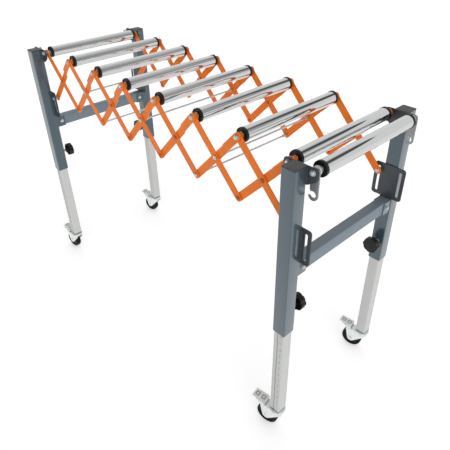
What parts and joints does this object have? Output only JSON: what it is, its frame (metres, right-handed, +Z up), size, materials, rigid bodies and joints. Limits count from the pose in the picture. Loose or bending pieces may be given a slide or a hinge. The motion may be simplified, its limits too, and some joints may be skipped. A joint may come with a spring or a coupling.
{
  "type": "expanding roller stand",
  "caption": "Expanding roller conveyor stand: scissor links between two height-adjustable frames on braked swivel casters carry a row of rollers, with hooks to join another stand.",
  "frame": {"origin": "on the floor under the middle of the whole stand as it stands in the picture", "axes": "+X along the stand towards the end with two rollers and the hooks, +Z up, +Y to the back side"},
  "size_m": [1.4784, 0.5318, 0.983],
  "materials": {
    "enamel": "gloss enamel",
    "orange": "satin powder coat",
    "chrome": "polished",
    "zinc": "bright zinc plate",
    "galvanised": "matt galvanised",
    "black_plastic": "satin",
    "wheel_rubber": "satin"
  },
  "bodies": {
    "far_frame": {"post_far_front": "enamel", "post_far_back": "enamel", "crossbar_far": "enamel", "axle_far": "zinc"},
    "fall_1": {"link_fall_1_front": "orange", "link_fall_1_back": "orange"},
    "rise_1": {"link_rise_1": "orange"},
    "fall_2": {"link_fall_2_front": "orange", "link_fall_2_back": "orange"},
    "rise_2": {"link_rise_2": "orange"},
    "fall_3": {"link_fall_3_front": "orange", "link_fall_3_back": "orange"},
    "rise_3": {"link_rise_3": "orange"},
    "fall_4": {"link_fall_4_front": "orange", "link_fall_4_back": "orange"},
    "rise_4": {"link_rise_4": "orange"},
    "fall_5": {"link_fall_5_front": "orange", "link_fall_5_back": "orange"},
    "rise_5": {"link_rise_5": "orange"},
    "fall_6": {"link_fall_6_front": "orange", "link_fall_6_back": "orange"},
    "rise_6": {"link_rise_6": "orange"},
    "fall_7": {"link_fall_7_front": "orange", "link_fall_7_back": "orange"},
    "rise_7": {"link_rise_7": "orange"},
    "near_frame": {"post_near_front": "enamel", "post_near_back": "enamel", "crossbar_near": "enamel", "axle_near": "zinc"},
    "roller_1": {"roller_1": "chrome"},
    "roller_2": {"roller_2": "chrome"},
    "roller_3": {"roller_3": "chrome"},
    "roller_4": {"roller_4": "chrome"},
    "roller_5": {"roller_5": "chrome"},
    "roller_6": {"roller_6": "chrome"},
    "roller_7": {"roller_7": "chrome"},
    "roller_8": {"roller_8": "chrome"},
    "roller_9": {"roller_9": "chrome"},
    "leg_far_front": {"leg_far_front": "galvanised"},
    "knob_far_front": {"knob_far_front": "black_plastic"},
    "fork_far_front": {"caster_fork_far_front": "zinc"},
    "wheel_far_front": {"caster_wheel_far_front": "wheel_rubber"},
    "pedal_far_front": {"brake_pedal_far_front": "zinc"},
    "leg_far_back": {"leg_far_back": "galvanised"},
    "knob_far_back": {"knob_far_back": "black_plastic"},
    "fork_far_back": {"caster_fork_far_back": "zinc"},
    "wheel_far_back": {"caster_wheel_far_back": "wheel_rubber"},
    "pedal_far_back": {"brake_pedal_far_back": "zinc"},
    "leg_near_front": {"leg_near_front": "galvanised"},
    "knob_near_front": {"knob_near_front": "black_plastic"},
    "fork_near_front": {"caster_fork_near_front": "zinc"},
    "wheel_near_front": {"caster_wheel_near_front": "wheel_rubber"},
    "pedal_near_front": {"brake_pedal_near_front": "zinc"},
    "leg_near_back": {"leg_near_back": "galvanised"},
    "knob_near_back": {"knob_near_back": "black_plastic"},
    "fork_near_back": {"caster_fork_near_back": "zinc"},
    "wheel_near_back": {"caster_wheel_near_back": "wheel_rubber"},
    "pedal_near_back": {"brake_pedal_near_back": "zinc"},
    "hook_front": {"hook_front": "zinc"},
    "hook_back": {"hook_back": "zinc"}
  },
  "joints": [
    {"name": "scissor", "type": "hinge", "parent": "far_frame", "child": "fall_1", "pos_m": [-0.61384, 0.00428, 0.963], "axis": [0, 1, 0], "range_deg": [-2.6, 30.5]},
    {"name": "rise_1_cross", "type": "hinge", "parent": "fall_1", "child": "rise_1", "pos_m": [-0.52384, 0.00428, 0.871], "axis": [0, 1, 0], "range_deg": [-61, 5.2]},
    {"name": "fall_2_top", "type": "hinge", "parent": "rise_1", "child": "fall_2", "pos_m": [-0.43384, 0.00428, 0.963], "axis": [0, 1, 0], "range_deg": [-5.2, 61]},
    {"name": "rise_2_cross", "type": "hinge", "parent": "fall_2", "child": "rise_2", "pos_m": [-0.34384, 0.00428, 0.871], "axis": [0, 1, 0], "range_deg": [-61, 5.2]},
    {"name": "fall_3_top", "type": "hinge", "parent": "rise_2", "child": "fall_3", "pos_m": [-0.25384, 0.00428, 0.963], "axis": [0, 1, 0], "range_deg": [-5.2, 61]},
    {"name": "rise_3_cross", "type": "hinge", "parent": "fall_3", "child": "rise_3", "pos_m": [-0.16384, 0.00428, 0.871], "axis": [0, 1, 0], "range_deg": [-61, 5.2]},
    {"name": "fall_4_top", "type": "hinge", "parent": "rise_3", "child": "fall_4", "pos_m": [-0.07384, 0.00428, 0.963], "axis": [0, 1, 0], "range_deg": [-5.2, 61]},
    {"name": "rise_4_cross", "type": "hinge", "parent": "fall_4", "child": "rise_4", "pos_m": [0.01616, 0.00428, 0.871], "axis": [0, 1, 0], "range_deg": [-61, 5.2]},
    {"name": "fall_5_top", "type": "hinge", "parent": "rise_4", "child": "fall_5", "pos_m": [0.10616, 0.00428, 0.963], "axis": [0, 1, 0], "range_deg": [-5.2, 61]},
    {"name": "rise_5_cross", "type": "hinge", "parent": "fall_5", "child": "rise_5", "pos_m": [0.19616, 0.00428, 0.871], "axis": [0, 1, 0], "range_deg": [-61, 5.2]},
    {"name": "fall_6_top", "type": "hinge", "parent": "rise_5", "child": "fall_6", "pos_m": [0.28616, 0.00428, 0.963], "axis": [0, 1, 0], "range_deg": [-5.2, 61]},
    {"name": "rise_6_cross", "type": "hinge", "parent": "fall_6", "child": "rise_6", "pos_m": [0.37616, 0.00428, 0.871], "axis": [0, 1, 0], "range_deg": [-61, 5.2]},
    {"name": "fall_7_top", "type": "hinge", "parent": "rise_6", "child": "fall_7", "pos_m": [0.46616, 0.00428, 0.963], "axis": [0, 1, 0], "range_deg": [-5.2, 61]},
    {"name": "rise_7_cross", "type": "hinge", "parent": "fall_7", "child": "rise_7", "pos_m": [0.55616, 0.00428, 0.871], "axis": [0, 1, 0], "range_deg": [-61, 5.2]},
    {"name": "near_frame_top", "type": "hinge", "parent": "rise_7", "child": "near_frame", "pos_m": [0.64616, 0.00428, 0.963], "axis": [0, 1, 0], "range_deg": [-2.6, 30.5]},
    {"name": "roller_1_spin", "type": "hinge", "parent": "far_frame", "child": "roller_1", "pos_m": [-0.61384, 0.00428, 0.963], "axis": [0, 1, 0], "continuous": true},
    {"name": "roller_2_spin", "type": "hinge", "parent": "rise_1", "child": "roller_2", "pos_m": [-0.43384, 0.00428, 0.963], "axis": [0, 1, 0], "continuous": true},
    {"name": "roller_3_spin", "type": "hinge", "parent": "rise_2", "child": "roller_3", "pos_m": [-0.25384, 0.00428, 0.963], "axis": [0, 1, 0], "continuous": true},
    {"name": "roller_4_spin", "type": "hinge", "parent": "rise_3", "child": "roller_4", "pos_m": [-0.07384, 0.00428, 0.963], "axis": [0, 1, 0], "continuous": true},
    {"name": "roller_5_spin", "type": "hinge", "parent": "rise_4", "child": "roller_5", "pos_m": [0.10616, 0.00428, 0.963], "axis": [0, 1, 0], "continuous": true},
    {"name": "roller_6_spin", "type": "hinge", "parent": "rise_5", "child": "roller_6", "pos_m": [0.28616, 0.00428, 0.963], "axis": [0, 1, 0], "continuous": true},
    {"name": "roller_7_spin", "type": "hinge", "parent": "rise_6", "child": "roller_7", "pos_m": [0.46616, 0.00428, 0.963], "axis": [0, 1, 0], "continuous": true},
    {"name": "roller_8_spin", "type": "hinge", "parent": "rise_7", "child": "roller_8", "pos_m": [0.64616, 0.00428, 0.963], "axis": [0, 1, 0], "continuous": true},
    {"name": "roller_9_spin", "type": "hinge", "parent": "near_frame", "child": "roller_9", "pos_m": [0.71866, 0.00428, 0.963], "axis": [0, 1, 0], "continuous": true},
    {"name": "leg_far_front_slide", "type": "slide", "parent": "far_frame", "child": "leg_far_front", "axis": [0, 0, 1], "range_m": [-0.1, 0.3]},
    {"name": "knob_far_front_turn", "type": "hinge", "parent": "far_frame", "child": "knob_far_front", "pos_m": [-0.64884, -0.21222, 0.5265], "axis": [0, 1, 0], "range_deg": [0, 360]},
    {"name": "caster_far_front_swivel", "type": "hinge", "parent": "leg_far_front", "child": "fork_far_front", "pos_m": [-0.64884, -0.23322, 0.088], "axis": [0, 0, 1], "continuous": true},
    {"name": "wheel_far_front_spin", "type": "hinge", "parent": "fork_far_front", "child": "wheel_far_front", "pos_m": [-0.68358, -0.23749, 0.0375], "axis": [-0.1219, 0.9925, 0], "continuous": true},
    {"name": "pedal_far_front_press", "type": "hinge", "parent": "fork_far_front", "child": "pedal_far_front", "pos_m": [-0.69549, -0.23895, 0.081], "axis": [0.1219, -0.9925, 0], "range_deg": [0, 18]},
    {"name": "leg_far_back_slide", "type": "slide", "parent": "far_frame", "child": "leg_far_back", "axis": [0, 0, 1], "range_m": [-0.1, 0.3]},
    {"name": "knob_far_back_turn", "type": "hinge", "parent": "far_frame", "child": "knob_far_back", "pos_m": [-0.64884, 0.22078, 0.5265], "axis": [0, -1, 0], "range_deg": [0, 360]},
    {"name": "caster_far_back_swivel", "type": "hinge", "parent": "leg_far_back", "child": "fork_far_back", "pos_m": [-0.64884, 0.24178, 0.088], "axis": [0, 0, 1], "continuous": true},
    {"name": "wheel_far_back_spin", "type": "hinge", "parent": "fork_far_back", "child": "wheel_far_back", "pos_m": [-0.68294, 0.23391, 0.0375], "axis": [-0.225, 0.9744, 0], "continuous": true},
    {"name": "pedal_far_back_press", "type": "hinge", "parent": "fork_far_back", "child": "pedal_far_back", "pos_m": [-0.69464, 0.23121, 0.081], "axis": [0.225, -0.9744, 0], "range_deg": [0, 18]},
    {"name": "leg_near_front_slide", "type": "slide", "parent": "near_frame", "child": "leg_near_front", "axis": [0, 0, 1], "range_m": [-0.1, 0.3]},
    {"name": "knob_near_front_turn", "type": "hinge", "parent": "near_frame", "child": "knob_near_front", "pos_m": [0.68116, -0.21222, 0.5265], "axis": [0, 1, 0], "range_deg": [0, 360]},
    {"name": "caster_near_front_swivel", "type": "hinge", "parent": "leg_near_front", "child": "fork_near_front", "pos_m": [0.68116, -0.23322, 0.088], "axis": [0, 0, 1], "continuous": true},
    {"name": "wheel_near_front_spin", "type": "hinge", "parent": "fork_near_front", "child": "wheel_near_front", "pos_m": [0.6468, -0.2399, 0.0375], "axis": [-0.1908, 0.9816, 0], "continuous": true},
    {"name": "pedal_near_front_press", "type": "hinge", "parent": "fork_near_front", "child": "pedal_near_front", "pos_m": [0.63502, -0.24219, 0.081], "axis": [0.1908, -0.9816, 0], "range_deg": [0, 18]},
    {"name": "leg_near_back_slide", "type": "slide", "parent": "near_frame", "child": "leg_near_back", "axis": [0, 0, 1], "range_m": [-0.1, 0.3]},
    {"name": "knob_near_back_turn", "type": "hinge", "parent": "near_frame", "child": "knob_near_back", "pos_m": [0.68116, 0.22078, 0.5265], "axis": [0, -1, 0], "range_deg": [0, 360]},
    {"name": "caster_near_back_swivel", "type": "hinge", "parent": "leg_near_back", "child": "fork_near_back", "pos_m": [0.68116, 0.24178, 0.088], "axis": [0, 0, 1], "continuous": true},
    {"name": "wheel_near_back_spin", "type": "hinge", "parent": "fork_near_back", "child": "wheel_near_back", "pos_m": [0.64669, 0.2357, 0.0375], "axis": [-0.1736, 0.9848, 0], "continuous": true},
    {"name": "pedal_near_back_press", "type": "hinge", "parent": "fork_near_back", "child": "pedal_near_back", "pos_m": [0.63487, 0.23362, 0.081], "axis": [0.1736, -0.9848, 0], "range_deg": [0, 18]},
    {"name": "hook_front_swing", "type": "hinge", "parent": "near_frame", "child": "hook_front", "pos_m": [0.71866, -0.20572, 0.963], "axis": [0, -1, 0], "range_deg": [-30, 150]},
    {"name": "hook_back_swing", "type": "hinge", "parent": "near_frame", "child": "hook_back", "pos_m": [0.71866, 0.21428, 0.963], "axis": [0, -1, 0], "range_deg": [-30, 150]}
  ],
  "couplings": [
    {"joint": "rise_1_cross", "follows": "scissor", "ratio": -2},
    {"joint": "fall_2_top", "follows": "scissor", "ratio": 2},
    {"joint": "rise_2_cross", "follows": "scissor", "ratio": -2},
    {"joint": "fall_3_top", "follows": "scissor", "ratio": 2},
    {"joint": "rise_3_cross", "follows": "scissor", "ratio": -2},
    {"joint": "fall_4_top", "follows": "scissor", "ratio": 2},
    {"joint": "rise_4_cross", "follows": "scissor", "ratio": -2},
    {"joint": "fall_5_top", "follows": "scissor", "ratio": 2},
    {"joint": "rise_5_cross", "follows": "scissor", "ratio": -2},
    {"joint": "fall_6_top", "follows": "scissor", "ratio": 2},
    {"joint": "rise_6_cross", "follows": "scissor", "ratio": -2},
    {"joint": "fall_7_top", "follows": "scissor", "ratio": 2},
    {"joint": "rise_7_cross", "follows": "scissor", "ratio": -2},
    {"joint": "near_frame_top", "follows": "scissor", "ratio": 1}
  ]
}
